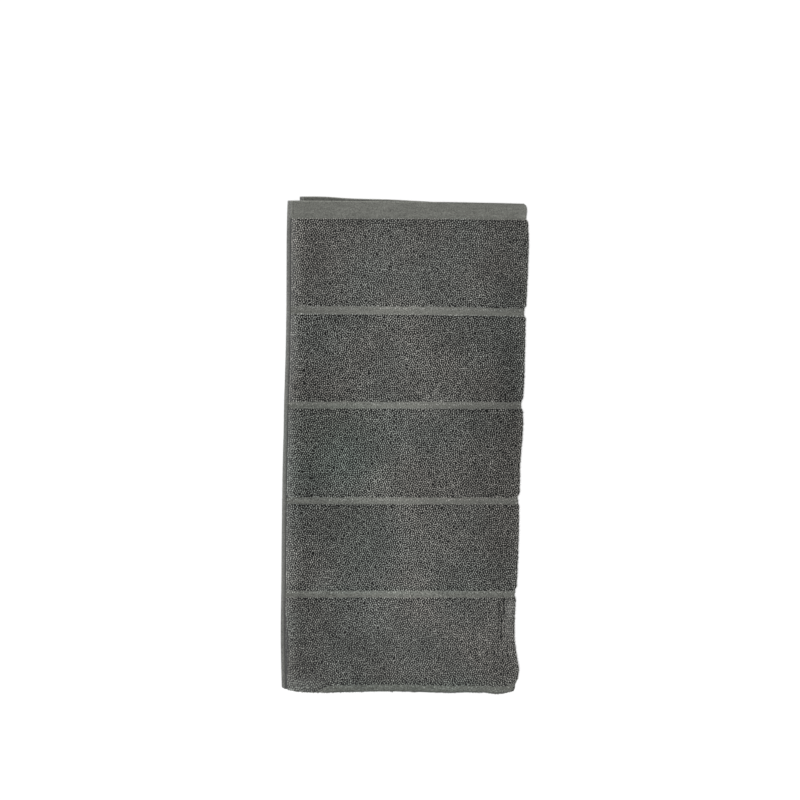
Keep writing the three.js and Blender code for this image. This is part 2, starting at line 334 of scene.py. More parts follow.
@dataclass(frozen=True)
class FlatCloth:
    """The towel before it is folded: its size, woven sections, hems and ground cloth."""

    width: float = 666.0
    terries: tuple[float, ...] = (126.3, 126.3, 126.6, 123.3, 126.4)
    band: float = 9.7
    hem: float = 24.4
    side_hem: float = 5.2
    side_step: float = 0.9
    side_thickness: float = 2.0
    pile_step: float = 2.5
    ground_step: float = 0.8
    ground_half: float = 0.35
    rim_round: float = 1.2
    rim_share: float = 0.6
    side_growth: float = 1.8
    growth_from: float = 582.0
    growth_to: float = 700.0
    growth_run: float = 15.0
    hidden_from: float = 8.0
    hidden_to: float = 20.0
    late_fields: tuple[int, ...] = (0, 1)
    late_pile: float = 2.0

    def late_start(self, field_number: int) -> float:
        """How far past its weave's start the pile of a field begins."""
        return self.late_pile if field_number in self.late_fields else 0.0

    def sections(self) -> list[Section]:
        """The woven sections in order, from end hem to end hem."""
        half = [(Weave.HEM, self.hem)]
        for terry in self.terries:
            half += [(Weave.TERRY, terry), (Weave.BAND, self.band)]
        order = half + half[-2::-1]
        made, start = [], 0.0
        for weave, length in order:
            made.append(Section(weave, start, start + length))
            start += length
        return made

    @property
    def length(self) -> float:
        """Length of the flat cloth."""
        return self.sections()[-1].end

    def terry_share(self, along: np.ndarray, run: float) -> np.ndarray:
        """The terry's share at places along the cloth.

        Args:
            along: Places along the cloth.
            run: Length over which the share rises from a flat section's edge.

        Returns:
            1 in a terry field, falling to 0 at the flat sections.
        """
        parts = self.sections()
        starts = np.array([part.start for part in parts])
        ends = np.array([part.end for part in parts])
        terry = np.array([part.weave is Weave.TERRY for part in parts])
        i = np.minimum(np.searchsorted(ends, along), len(parts) - 1)
        to_edge = np.minimum(along - starts[i], ends[i] - along)
        return np.where(terry[i], soft_share(to_edge, 0.0, run), 0.0)

    def hem_growth(self, along: np.ndarray) -> np.ndarray:
        """How much wider the side hem is towards the fold across."""
        grown = soft_share(along, self.growth_from, self.growth_from + self.growth_run)
        over = soft_share(along, self.growth_to, self.growth_to + self.growth_run)
        return self.side_growth * grown * (1.0 - over)

    def open_ground(self, along: np.ndarray) -> np.ndarray:
        """Where the terry's ground lies open between its loops: 1, or 0 in all flat weave."""
        share = self.terry_share(along, self.ground_step)
        fields = [part for part in self.sections() if part.weave is Weave.TERRY]
        for i in self.late_fields:
            past = along - fields[i].start
            closed = (past > -self.ground_step) & (past < self.late_pile + HAIR)
            share = np.where(closed, 0.0, share)
        return share

    def flat_weave(self, along: np.ndarray) -> tuple[np.ndarray, np.ndarray]:
        """Thickness and depth of the nearest flat-woven section at places along the cloth."""
        near_end = np.minimum(along, self.length - along) < self.hem + self.terries[0] / 2
        thickness = np.where(near_end, Weave.HEM.thickness, Weave.BAND.thickness)
        return thickness, np.where(near_end, Weave.HEM.sunk, Weave.BAND.sunk)

    def surface(self, across: np.ndarray, along: np.ndarray, face: int) -> np.ndarray:
        """Height of one face of the cloth over its middle.

        Args:
            across: Places across the cloth.
            along: Places along it.
            face: 1 for the outside of the lengthwise fold and -1 for its inside.

        Returns:
            The height, which the loops of the pile stand over on the shown outside.
        """
        flat, sunk = self.flat_weave(along)
        bare = face > 0
        terry = self.terry_share(along, self.ground_step if bare else self.pile_step)
        pile_half = Weave.TERRY.thickness / 2
        past_turn = across - FoldedStack.front_width
        shown = 1.0 - share_of(past_turn, self.hidden_from, self.hidden_to)
        terry_half = blend(pile_half, self.ground_half, shown) if bare else pile_half
        from_side = np.minimum(across, self.width - across)
        from_end = np.minimum(along, self.length - along)
        body = share_of(from_side, self.side_hem, self.side_hem + self.side_step)
        to_rim = share_of(np.minimum(from_side, from_end), 0.0, self.rim_round)
        half = blend(self.side_thickness / 2, blend(flat / 2, terry_half, terry), body)
        half = half * blend(self.rim_share, 1.0, to_rim)
        return face * half - sunk * (1.0 - terry) * body


@dataclass(frozen=True)
class FoldedStack:
    """How the cloth is folded in half lengthwise and then across, and how the stack settles."""

    cloth: FlatCloth
    front_width: float = 341.0
    front_length: float = 703.9
    pitch: float = 3.5
    band_pull: float = 2.1
    hem_pull: float = 1.0
    bulge_run: float = 5.0
    back_side: float = 1.5
    back_turn: float = 4.6
    back_run: float = 90.0
    bottom_run: float = 70.0
    slip_run: float = 10.0
    slant: float = 6.5
    slant_run: float = 60.0
    side_droop: tuple[float, ...] = (3.0, -149.0, -176.0, 7.2)
    top_droop: tuple[float, ...] = (1.6, -17.0, 4.0, 4.0)
    back_top: float = 3.7
    middle_x: float = -0.3211
    middle_y: float = 345.5433
    fold_roll: float = -1.0
    corner_roll: float = 11.0
    corner_from: float = -110.0
    corner_to: float = -138.0
    corner_run: float = 95.0

    @property
    def turn_radius(self) -> float:
        """Radius of the lengthwise fold, at the cloth's middle."""
        return self.pitch / 2

    @property
    def turn_arc(self) -> float:
        """Length of cloth in the lengthwise fold."""
        return math.pi * self.turn_radius

    @property
    def outer_radius(self) -> float:
        """Radius at which the outer layer goes round the fold across."""
        return self.pitch + self.turn_radius

    @property
    def middle_height(self) -> float:
        """Height of the stack's middle over what it lies on."""
        return self.outer_radius + Weave.TERRY.thickness / 2

    @property
    def top_line(self) -> float:
        """How far the straight front layer reaches above the middle of the bottom fold."""
        return self.front_length - math.pi * self.outer_radius / 2

    def rolled(self, across: np.ndarray, along: np.ndarray) -> np.ndarray:
        """Places along the cloth once its corner has rolled a little under the bottom fold."""
        straight = np.maximum(np.abs(across - self.front_width) - self.turn_arc / 2, 0.0)
        x = outline("turn", np.array(self.top_line)) - straight
        near = 1.0 - share_of(np.abs(along - self.front_length), 0.0, self.corner_run)
        corner = self.corner_roll * soft_share(x, self.corner_from, self.corner_to)
        return along + (self.fold_roll + corner) * near

    def fold_across(
        self, along: np.ndarray, lift: np.ndarray, radius: np.ndarray, slip: np.ndarray
    ) -> tuple[np.ndarray, np.ndarray]:
        """Where points lie after the fold across.

        Args:
            along: Places along the cloth.
            lift: Heights over the middle of a folded pair of layers.
            radius: Radius at which each point's layer goes round the fold.
            slip: How far its layer's hem ends past the front one.

        Returns:
            How far up from the fold each point lies, and its height over the stack's middle.
        """
        from_fold = along - self.front_length
        quarter = math.pi * radius / 2
        side = np.where(from_fold < 0, 1.0, -1.0)
        reach = self.pitch + lift
        angle = np.minimum(np.abs(from_fold) / radius, math.pi / 2)
        end = np.where(from_fold < 0, self.front_length, self.cloth.length - self.front_length)
        outer_end = end - math.pi * self.outer_radius / 2
        straight = (np.abs(from_fold) - quarter) / (end - quarter)
        turned = np.abs(from_fold) < quarter
        up = np.where(turned, -reach * np.cos(angle), straight * (outer_end + slip))
        return up, side * reach * np.where(turned, np.sin(angle), 1.0)

    def settle_in_plan(self, x: np.ndarray, y: np.ndarray) -> np.ndarray:
        """Bends the stack to the outline of the bottom fold and the slope of the weave."""
        down = self.top_line - y
        side, turn, slope, drop = (
            outline(name, down) for name in ("side", "turn", "slope", "drop")
        )
        near_bottom = soft_share(down, self.top_line - self.bottom_run, self.top_line)
        over = np.clip((x - side) / (turn - side), 0.0, 1.0)
        y = y - Curve(BOTTOM_LINE, "x", "reach")(x) * near_bottom
        return y - (slope * over + drop * over**3)

    def settle_in_height(self, x: np.ndarray, y: np.ndarray, z: np.ndarray) -> np.ndarray:
        """Lets the top layers sink where nothing carries them, and swells the top a little."""
        over_middle = z - self.middle_height
        for place, (depth, start, end, rise) in (
            (x, self.side_droop),
            (y - self.top_line, self.top_droop),
        ):
            held = share_of(over_middle, -self.back_top, rise - self.back_top)
            z = z - depth * soft_share(place, start, end) * held
        swell = np.zeros_like(z)
        for hill_x, hill_y, reach, height in zip(*SWELLS.values()):
            away = np.hypot(x - hill_x, y - self.top_line / 2 - hill_y)
            swell += height * np.exp(-((away / reach) ** 2))
        return z * (1.0 + swell / (2 * self.middle_height))

    def place(self, across: np.ndarray, along: np.ndarray, outward: np.ndarray) -> np.ndarray:
        """Folds points of the flat cloth into the stack.

        Args:
            across: Places across the flat cloth.
            along: Places along it.
            outward: Heights over its middle.

        Returns:
            One row of x, y and z for each point, in millimetres in the row frame.
        """
        flat = 1.0 - self.cloth.terry_share(along, self.bulge_run)
        from_end = np.minimum(along, self.cloth.length - along)
        by_hem = from_end < self.cloth.hem + self.bulge_run
        pull = flat * (self.band_pull + self.hem_pull * by_hem)
        along = self.rolled(across, along)
        from_turn = across - self.front_width
        angle = np.clip(from_turn / self.turn_radius, -math.pi / 2, math.pi / 2)
        lift = -(self.turn_radius + outward) * np.sin(angle)
        radius = self.pitch - self.turn_radius * np.sin(angle)
        straight = np.maximum(np.abs(from_turn) - self.turn_arc / 2, 0.0)
        slip = Curve(HEM_SLIP, "x", "out")(OUTLINE["turn"][0] - straight)
        slip = np.where(from_turn > 0, slip * share_of(straight, 0.0, self.slip_run), 0.0)
        up, height = self.fold_across(along, lift, radius, slip)
        down = self.top_line - up
        tuck = np.where(along > self.front_length, soft_share(up, 0.0, self.back_run), 0.0)
        turn = outline("turn", down) - self.back_turn * tuck - pull
        turn_middle = turn - self.turn_radius - Weave.TERRY.thickness / 2
        side = outline("side", down) + self.back_side * tuck
        span = self.front_width - self.turn_arc / 2
        stretch = np.where(from_turn < 0, (turn_middle - side) / span, 1.0)
        x = turn_middle - straight * stretch + (self.turn_radius + outward) * np.cos(angle)
        slant = soft_share(straight, self.front_width - self.slant_run, self.front_width)
        slant = slant * soft_share(down, self.slant_run, -self.pitch)
        x = x + np.where(from_turn > 0, self.slant * slant, 0.0)
        y = self.settle_in_plan(x, up)
        z = self.settle_in_height(x, y, self.middle_height + height)
        return np.stack([x - self.middle_x, y - self.middle_y, z], axis=-1)


class NodeBench:
    """Adds and joins the nodes of one material."""

    def __init__(self, name: str) -> None:
        """Starts an empty material of this name."""
        self.material = bpy.data.materials.new(name)
        self.material.use_nodes = True
        self.tree = self.material.node_tree
        self.tree.nodes.clear()

    def add(self, kind: str, inputs: dict[str | int, object] | None = None, **settings: object):
        """Adds a node.

        Args:
            kind: The node's type.
            inputs: Its sockets by name or place, each with a number, a colour or an output.
            settings: Its other settings by name.

        Returns:
            The node.
        """
        node = self.tree.nodes.new(kind)
        for name, value in settings.items():
            setattr(node, name, value)
        for socket, value in (inputs or {}).items():
            if isinstance(value, bpy.types.NodeSocket):
                self.tree.links.new(value, node.inputs[socket])
            else:
                node.inputs[socket].default_value = value
        return node

    def attribute(self, name: str) -> bpy.types.NodeSocket:
        """The output of a mesh attribute, as one number."""
        return self.add("ShaderNodeAttribute", attribute_name=name).outputs["Fac"]

    def sum_of(self, kind: str, first: object, second: object) -> bpy.types.NodeSocket:
        """The output of a Math node of this kind on two values."""
        return self.add("ShaderNodeMath", {0: first, 1: second}, operation=kind).outputs[0]

    def noise(self, scale: float, detail: float, where: object = None) -> bpy.types.NodeSocket:
        """The output of a noise with this many cells a metre, or a unit of `where`."""
        if where is None:
            where = self.add("ShaderNodeTexCoord").outputs["Object"]
        inputs = {"Vector": where, "Scale": scale, "Detail": detail}
        return self.add("ShaderNodeTexNoise", inputs).outputs["Fac"]

    def mapped(
        self, value: object, to: tuple[float, float], of: tuple[float, float] = (0.0, 1.0)
    ) -> bpy.types.NodeSocket:
        """The output of a value that is moved from the range `of` to the range `to`."""
        ends = {"From Min": of[0], "From Max": of[1], "To Min": to[0], "To Max": to[1]}
        return self.add("ShaderNodeMapRange", {"Value": value, **ends}).outputs[0]

    def speckled(self, noise: bpy.types.NodeSocket, by: float) -> bpy.types.NodeSocket:
        """A factor that follows a noise, from 1 - by to 1 + by."""
        return self.mapped(noise, (1.0 - by, 1.0 + by), NOISE_RANGE)

    def ramp(self, share: bpy.types.NodeSocket, stops: dict[float, Colour]) -> bpy.types.NodeSocket:
        """The colour output of a ramp with these stops."""
        node = self.add("ShaderNodeValToRGB", {"Fac": share})
        band = node.color_ramp
        for i, (place, colour) in enumerate(stops.items()):
            stop = band.elements[i] if i < 2 else band.elements.new(place)
            stop.position, stop.color = place, colour
        return node.outputs["Color"]

    def dim(self, colour: bpy.types.NodeSocket, by: bpy.types.NodeSocket) -> bpy.types.NodeSocket:
        """The colour times one number, which may be over 1."""
        node = self.add("ShaderNodeVectorMath", {0: colour, 1: by}, operation="MULTIPLY")
        return node.outputs["Vector"]

    def shaded_and_tinted(self, colour: bpy.types.NodeSocket) -> bpy.types.NodeSocket:
        """The colour, made lighter or darker by the mesh attribute lighter, which carries painted
        light and shade and some uneven tone, and greener by the attribute greener.
        """
        colour = self.dim(colour, self.sum_of("ADD", self.attribute("lighter"), 1.0))
        stops = {0.0: (1.0, 1.0, 1.0, 1.0), 1.0: GREEN_TINT}
        return self.dim(colour, self.ramp(self.attribute("greener"), stops))

    def finish(
        self,
        colour: bpy.types.NodeSocket,
        height: bpy.types.NodeSocket,
        depth: float,
        roughness: float,
        shine: dict[str, float],
    ) -> bpy.types.Material:
        """Joins colour and relief to a cloth shader.

        Args:
            colour: The cloth's colour.
            height: Its relief, from 0 to 1.
            depth: How deep the relief is, in metres.
            roughness: The shader's roughness.
            shine: The constants of its other sockets by name.

        Returns:
            The material.
        """
        bump = self.add("ShaderNodeBump", {"Height": height, "Strength": 1.0, "Distance": depth})
        inputs = {"Base Color": colour, "Normal": bump.outputs["Normal"], "Roughness": roughness}
        shader = self.add("ShaderNodeBsdfPrincipled", inputs | shine)
        self.add("ShaderNodeOutputMaterial", {"Surface": shader.outputs["BSDF"]})
        return self.material


def grey(level: float, warmth: float = 0.0) -> Colour:
    """A grey of this linear level, a little yellower where warmth is over 0."""
    return (level, level * (1.0 + 0.2 * warmth), level * (1.0 - warmth), 1.0)


@dataclass(frozen=True)
class LoopPile:
    """Finish of the cotton loops: matt, each with its own shade, and painted shade towards its
    root.
    """

    name: str = "cotton_loops"
    middle: float = 0.294
    spread: float = 1.85
    warmth: float = 0.05
    root: float = 0.1
    fibre_scale: float = 1500.0
    fibre_depth: float = 0.00012
    fibre_contrast: float = 0.15
    tint_scale: float = 9.0
    cool: Colour = (0.965, 1.0, 0.995, 1.0)
    warm: Colour = (1.03, 0.995, 0.98, 1.0)
    roughness: float = 0.95
    sheen_roughness: float = 0.6

    def material(self) -> bpy.types.Material:
        """The loops' material, from the attributes loop_shade, loop_height, lighter, greener."""
        bench = NodeBench(self.name)
        shade, height = bench.attribute("loop_shade"), bench.attribute("loop_height")
        places = (0.0, 0.25, 0.5, 0.75, 1.0)
        levels = (self.middle * self.spread ** (2 * place - 1) for place in places)
        stops = {place: grey(level, self.warmth) for place, level in zip(places, levels)}
        colour = bench.ramp(shade, stops)
        fibre = bench.noise(self.fibre_scale, 2.0)
        colour = bench.dim(colour, bench.speckled(fibre, self.fibre_contrast))
        # Painted shade: each loop darkens towards its root, down to the share root.
        colour = bench.dim(colour, bench.mapped(height, (self.root, 1.0)))
        stops = {0.35: self.cool, 0.65: self.warm}
        tint = bench.ramp(bench.noise(self.tint_scale, 1.0), stops)
        colour = bench.shaded_and_tinted(bench.dim(colour, tint))
        shine = {**COTTON_SHEEN, "Sheen Roughness": self.sheen_roughness}
        return bench.finish(colour, fibre, self.fibre_depth, self.roughness, shine)


@dataclass(frozen=True)
class GroundCloth:
    """Finish of the woven ground that the loops stand on, painted nearly black as the shade between
    them.
    """

    name: str = "terry_ground_painted_shade"
    dark: float = 0.005
    light: float = 0.015
    thread_scale: float = 900.0
    thread_depth: float = 0.0002
    roughness: float = 1.0

    def material(self) -> bpy.types.Material:
        """The material between the loops, painted dark as their shade, from the attributes lighter
        and greener.
        """
        bench = NodeBench(self.name)
        threads = bench.noise(self.thread_scale, 2.0)
        stops = dict(zip(NOISE_RANGE, (grey(self.dark), grey(self.light))))
        colour = bench.shaded_and_tinted(bench.ramp(threads, stops))
        return bench.finish(colour, threads, self.thread_depth, self.roughness, COTTON_SHINE)


@dataclass(frozen=True)
class MattedPile:
    """Finish of the terry inside the folds, where its loops lie pressed on each other."""

    name: str = "matted_pile"
    dark: float = 0.03
    light: float = 0.16
    loop_scale: float = 420.0
    loop_depth: float = 0.0008
    roughness: float = 0.97

    def material(self) -> bpy.types.Material:
        """The material of terry whose loops aren't built one by one."""
        bench = NodeBench(self.name)
        where = bench.add("ShaderNodeTexCoord").outputs["Object"]
        inputs = {"Vector": where, "Scale": self.loop_scale, "Randomness": 1.0}
        cells = bench.add("ShaderNodeTexVoronoi", inputs)
        height = bench.sum_of("SUBTRACT", 1.0, cells.outputs["Distance"])
        # Painted shade: darker in the hollows between the pressed loops.
        colour = bench.ramp(height, {0.35: grey(self.dark), 0.85: grey(self.light, 0.03)})
        return bench.finish(colour, height, self.loop_depth, self.roughness, COTTON_SHEEN)


@dataclass(frozen=True)
class FlatWeaveFinish:
    """Finish of flat-woven cloth: fine crossing threads, with soft streaks and its own level."""

    name: str
    level: float
    warmth: float = 0.08
    threads_per_mm: float = 1.1
    streak: float = 0.10
    speckle: float = 0.12
    thread_contrast: float = 0.10
    grain_scale: float = 800.0
    relief: float = 0.00015
    streak_turn: float = 0.6
    streak_scale: tuple[float, float, float] = (0.05, 0.22, 1.0)
    roughness: float = 0.88

    def material(self) -> bpy.types.Material:
        """The material, from the attributes across_mm, along_mm, lighter and greener."""
        bench = NodeBench(self.name)
        across, along = bench.attribute("across_mm"), bench.attribute("along_mm")
        turn = 2 * math.pi * self.threads_per_mm
        warp = bench.sum_of("SINE", bench.sum_of("MULTIPLY", across, turn), 0.0)
        weft = bench.sum_of("SINE", bench.sum_of("MULTIPLY", along, turn), 0.0)
        crossing = bench.sum_of("MULTIPLY", warp, weft)
        threads = bench.mapped(crossing, (0.0, 1.0), (-1.0, 1.0))
        fine = bench.mapped(threads, (1.0 - self.thread_contrast, 1.0 + self.thread_contrast))
        flat = bench.add("ShaderNodeCombineXYZ", {"X": across, "Y": along}).outputs[0]
        turned = (0.0, 0.0, self.streak_turn)
        inputs = {"Vector": flat, "Rotation": turned, "Scale": self.streak_scale}
        soft = bench.noise(1.0, 3.0, bench.add("ShaderNodeMapping", inputs).outputs[0])
        levels = (self.level * (1.0 - self.streak), self.level * (1.0 + self.streak))
        stops = {place: grey(level, self.warmth) for place, level in zip(NOISE_RANGE, levels)}
        colour = bench.ramp(soft, stops)
        grain = bench.noise(self.grain_scale, 3.0)
        colour = bench.dim(colour, fine)
        colour = bench.shaded_and_tinted(bench.dim(colour, bench.speckled(grain, self.speckle)))
        relief = bench.sum_of("ADD", threads, bench.sum_of("MULTIPLY", grain, 2.0))
        return bench.finish(colour, relief, self.relief, self.roughness, COTTON_SHEEN)


@dataclass(frozen=True)
class FloorFinish:
    """Finish of the pale studio floor."""

    name: str = "studio_floor"
    level: float = 0.93
    cloud: float = 0.01
    roughness: float = 0.9

    def material(self) -> bpy.types.Material:
        """A plain, nearly white material."""
        bench = NodeBench(self.name)
        cloud = bench.noise(3.0, 2.0)
        colour = bench.ramp(cloud, {0.0: grey(self.level - self.cloud), 1.0: grey(self.level)})
        return bench.finish(colour, cloud, 0.0, self.roughness, {})


def new_piece(
    name: str,
    points: np.ndarray,
    quads: np.ndarray,
    materials: list[bpy.types.Material],
    slots: np.ndarray | None = None,
    numbers: dict[str, np.ndarray] | None = None,
) -> bpy.types.Object:
    """Makes a smooth mesh piece that rides on the towel's one body.

    Args:
        name: The piece's name.
        points: Its points in millimetres.
        quads: Four point numbers a face.
        materials: Its materials.
        slots: The material slot of each face, or None for the first.
        numbers: Its point attributes by name.

    Returns:
        The object.
    """
    mesh = bpy.data.meshes.new(name)
    mesh.vertices.add(len(points))
    mesh.vertices.foreach_set("co", (points * MM).astype(np.float32).ravel())
    mesh.loops.add(quads.size)
    mesh.loops.foreach_set("vertex_index", quads.astype(np.int32).ravel())
    mesh.polygons.add(len(quads))
    mesh.polygons.foreach_set("loop_start", np.arange(0, quads.size, 4, dtype=np.int32))
    mesh.polygons.foreach_set("use_smooth", np.ones(len(quads), bool))
    for material in materials:
        mesh.materials.append(material)
    if slots is not None:
        mesh.polygons.foreach_set("material_index", slots.astype(np.int32))
    for label, values in (numbers or {}).items():
        column = mesh.attributes.new(label, "FLOAT", "POINT")
        column.data.foreach_set("value", values.astype(np.float32).ravel())
    mesh.update(calc_edges=True)
    mesh.validate()
    piece = bpy.data.objects.new(name, mesh)
    bpy.context.scene.collection.objects.link(piece)
    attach(piece, "root")
    return piece


class Slot(IntEnum):
    """The material slots of the cloth's sheet."""

    GROUND = 0
    MATTED = 1
    BAND = 2
    HEM = 3
    SIDE = 4


def stepped(stops: list[float], step: float) -> np.ndarray:
    """Places from the first stop to the last, each stop among them, about a step apart."""
    runs = [
        np.linspace(start, end, max(1, round((end - start) / step)) + 1)[:-1]
        for start, end in zip(stops, stops[1:])
    ]
    return np.concatenate([*runs, [stops[-1]]])


@dataclass
class ClothSheet:
    """The whole cloth as one closed sheet: ground, bands and hems, in its folds."""

    cloth: FlatCloth
    stack: FoldedStack
    column_step: float = 5.0
    hidden_step: float = 12.0
    row_step: float = 7.0
    turn_margin: float = 6.0
    turn_columns: int = 13
    fold_rows: int = 27
    least_step: float = 0.15
    matted_from: float = 12.0
    edge_highlight: float = 0.7
    edge_shade: float = -0.3
    edge_change: tuple[float, float] = (40.0, 60.0)
    edge_fade: tuple[float, float] = (0.6, 1.6)
    hem_fade: float = 20.0
    turn_lighter: float = 0.2
    turn_reach: float = 14.0
    inner_hem_shade: float = 0.38
    inner_reach: float = 11.0
    inner_fade: float = 3.0
    inner_start: float = 2.0
    side_groove_shade: float = 0.31
    side_groove_rise: tuple[float, float] = (1.6, 5.6)
    side_groove_fall: tuple[float, float] = (6.2, 7.6)
    side_rim_lighter: float = 0.2
    side_rim_rise: tuple[float, float] = (0.0, 0.8)
    side_rim_fall: tuple[float, float] = (1.2, 3.2)
    ground_shade_lift: float = 7.0
    ground_flat: float = 7.0
    ground_fade: float = 18.0
    edge_places: tuple[float, ...] = (0, 0.4, 1.2, 2.2, 3.2, 4.2, 5.2, 5.65, 6.1, 7.5, 8.6, 9.7)
    past_turn_places: tuple[float, ...] = (0, 4, 8, 20)
    hem_places: tuple[float, ...] = (0, 0.5, 1.0, 1.7, 3.2, 5.5, 9.0, 13.0, 17.0, 20.5, 22.5, 23.6)
    field_places: tuple[float, ...] = (0, 0.4, 0.8, 2.0, 3.2, 5.5, 9.0)
    band_places: tuple[float, ...] = (0, 1.2, 3.0, 4.85, 6.7, 8.5)

    def columns(self) -> np.ndarray:
        """Places of the mesh's columns across the flat cloth."""
        turn_start = self.stack.front_width - self.stack.turn_arc / 2
        turn_end = self.stack.front_width + self.stack.turn_arc / 2
        before = [self.edge_places[-1], turn_start - self.turn_margin, turn_start]
        front = stepped(before, self.column_step)
        turn = np.linspace(turn_start, turn_end, self.turn_columns)
        far = [self.cloth.width - place for place in self.edge_places[::-1]]
        behind = [turn_end + place for place in self.past_turn_places]
        back = stepped([*behind, far[0]], self.hidden_step)
        return np.unique(np.concatenate([self.edge_places, front, turn, back, far]).round(4))

    def rows(self) -> np.ndarray:
        """Places of the mesh's rows along the flat cloth."""
        places = [self.hem_places, [self.cloth.length - place for place in self.hem_places]]
        for part in self.cloth.sections():
            if part.weave is Weave.BAND:
                places.append([part.start + place for place in self.band_places])
            if part.weave is Weave.TERRY:
                near = self.field_places
                inner = stepped([part.start + near[-1], part.end - near[-1]], self.row_step)
                places += [[part.start + place for place in near], inner]
                places.append([part.end - place for place in near])
        reach = math.pi * self.stack.outer_radius / 2 + self.turn_margin
        fold = self.stack.front_length + np.linspace(-reach, reach, self.fold_rows)
        found = np.unique(np.concatenate([*places, fold]).round(4))
        return found[np.concatenate([[True], np.diff(found) > self.least_step])]

    def slots(self, columns: np.ndarray, rows: np.ndarray, face: int) -> np.ndarray:
        """The material slot of each face of one side."""
        across = (columns[:-1] + columns[1:]) / 2
        along = (rows[:-1] + rows[1:]) / 2
        by_weave = {Weave.TERRY: Slot.GROUND, Weave.BAND: Slot.BAND, Weave.HEM: Slot.HEM}
        by_row = np.zeros(len(along), int)
        terry_before = 0
        for part in self.cloth.sections():
            late = self.cloth.late_start(terry_before) if part.weave is Weave.TERRY else 0.0
            inside = (along > part.start + late) & (along < part.end)
            by_row[inside] = by_weave[part.weave]
            if late > 0.0:
                not_yet = (along > part.start) & (along < part.start + late)
                by_row[not_yet] = Slot.BAND if terry_before else Slot.HEM
            terry_before += part.weave is Weave.TERRY
        grid = np.repeat(by_row[:, None], len(across), axis=1)
        bare = (across < self.stack.front_width + self.matted_from) & (face > 0)
        grid[(grid == Slot.GROUND) & ~bare[None, :]] = Slot.MATTED
        from_side = np.minimum(across, self.cloth.width - across)
        grid[:, from_side < self.cloth.side_hem] = Slot.SIDE
        return grid

    def shading(self, across: np.ndarray, along: np.ndarray, points: np.ndarray) -> np.ndarray:
        """How much lighter or darker the cloth is painted at places, mostly as painted light and
        shade.

        Args:
            across: Places across the flat cloth.
            along: Places along it.
            points: Where they lie in the folded towel.

        Returns:
            The change as a share of its colour, so 0 where it keeps that.
        """
        cloth = self.cloth
        from_end = np.minimum(along, cloth.length - along)
        from_side = np.minimum(across, cloth.width - across)
        x, y, z = points.T
        # Broad painted light and shade, among patches of uneven tone.
        light = soft_places(LIGHTER, x, y)
        light = light * soft_share(from_end, cloth.hem, cloth.hem + self.hem_fade)
        # Painted highlight along the end hem's rim towards the left, painted shade along it further
        # right.
        edge = blend(self.edge_highlight, self.edge_shade, share_of(x, *self.edge_change))
        light = light + edge * (1.0 - share_of(from_end, *self.edge_fade))
        from_turn = np.abs(across - self.stack.front_width)
        near_turn = 1.0 - soft_share(from_turn, self.stack.turn_radius, self.turn_reach)
        # The end hem is lighter near the lengthwise fold.
        light = light + self.turn_lighter * near_turn * (from_end < cloth.hem)
        # Painted shade on the inner layers' end hems, just under the front layer's end.
        inner = (across > self.stack.front_width) | (along > self.stack.front_length)
        inner_end = self.inner_reach + self.inner_fade
        under = inner * (1.0 - soft_share(from_end, self.inner_reach, inner_end))
        light = light - self.inner_hem_shade * under * share_of(from_end, 0.0, self.inner_start)
        terry = cloth.open_ground(along) * (from_side > cloth.side_hem)
        # Painted shade in the groove beside the side hem, on its flat weave.
        past = from_side - cloth.hem_growth(along)
        line = share_of(past, *self.side_groove_rise)
        line = line * (1.0 - share_of(past, *self.side_groove_fall))
        # The side hem is lighter just in from its edge.
        rim = share_of(from_side, *self.side_rim_rise)
        rim = rim * (1.0 - share_of(from_side, *self.side_rim_fall))
        in_hem = from_end <= cloth.hem
        light = light - self.side_groove_shade * line * (1.0 - terry) * ~in_hem
        light = light + self.side_rim_lighter * rim
        # Painted shade in the corner's groove and a painted highlight beside it.
        light = light + np.interp(from_side, CORNER["from_side"], CORNER["lighter"]) * in_hem
        # Painted highlights along the hem's wrinkles.
        for line_x, line_y, lean, width, share in zip(*WRINKLES.values()):
            off = (x - line_x - lean * (y - line_y)) / width
            light = light + share * np.exp(-(off**2)) * in_hem
        # The ground's painted shade is lifted beside the side hem and under pressed pile, where the
        # loops lie flatter.
        beside = 1.0 - soft_share(from_side, self.ground_flat, self.ground_fade)
        pressed = np.minimum(soft_places(PRESSED, x, y), 1.0) * (z > self.stack.middle_height)
        return light + self.ground_shade_lift * np.maximum(beside, pressed) * terry

    def build(self, materials: list[bpy.types.Material]) -> bpy.types.Object:
        """Args:
            materials: Its materials, in the order of Slot.

        Returns:
            The sheet's object.
        """
        columns, rows = self.columns(), self.rows()
        wide, long = len(columns), len(rows)
        across, along = (grid.ravel() for grid in np.meshgrid(columns, rows))
        points = np.concatenate([
            self.stack.place(across, along, self.cloth.surface(across, along, face))
            for face in (1, -1)
        ])
        number = np.arange(wide * long).reshape(long, wide)
        outside = self.quads(number)
        inside = self.quads(number[:, ::-1] + wide * long)
        loop = np.concatenate([number[0], number[1:, -1], number[-1, -2::-1], number[-2:0:-1, 0]])
        after = np.roll(loop, -1)
        rim = np.stack([loop, loop + wide * long, after + wide * long, after], axis=-1)
        rim_slots = np.repeat([Slot.HEM, Slot.SIDE] * 2, [wide - 1, long - 1] * 2)
        slots = np.concatenate([
            self.slots(columns, rows, 1).ravel(),
            self.slots(columns, rows, -1)[:, ::-1].ravel(),
            rim_slots,
        ])
        sheet = new_piece(
            "folded_cloth",
            points,
            np.concatenate([outside, inside, rim]),
            materials,
            slots,
            {
                "across_mm": np.tile(across, 2),
                "along_mm": np.tile(along, 2),
                "lighter": self.shading(np.tile(across, 2), np.tile(along, 2), points),
                "greener": soft_places(GREENER, points[:, 0], points[:, 1]),
            },
        )
        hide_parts("towel_cloth")
        return sheet

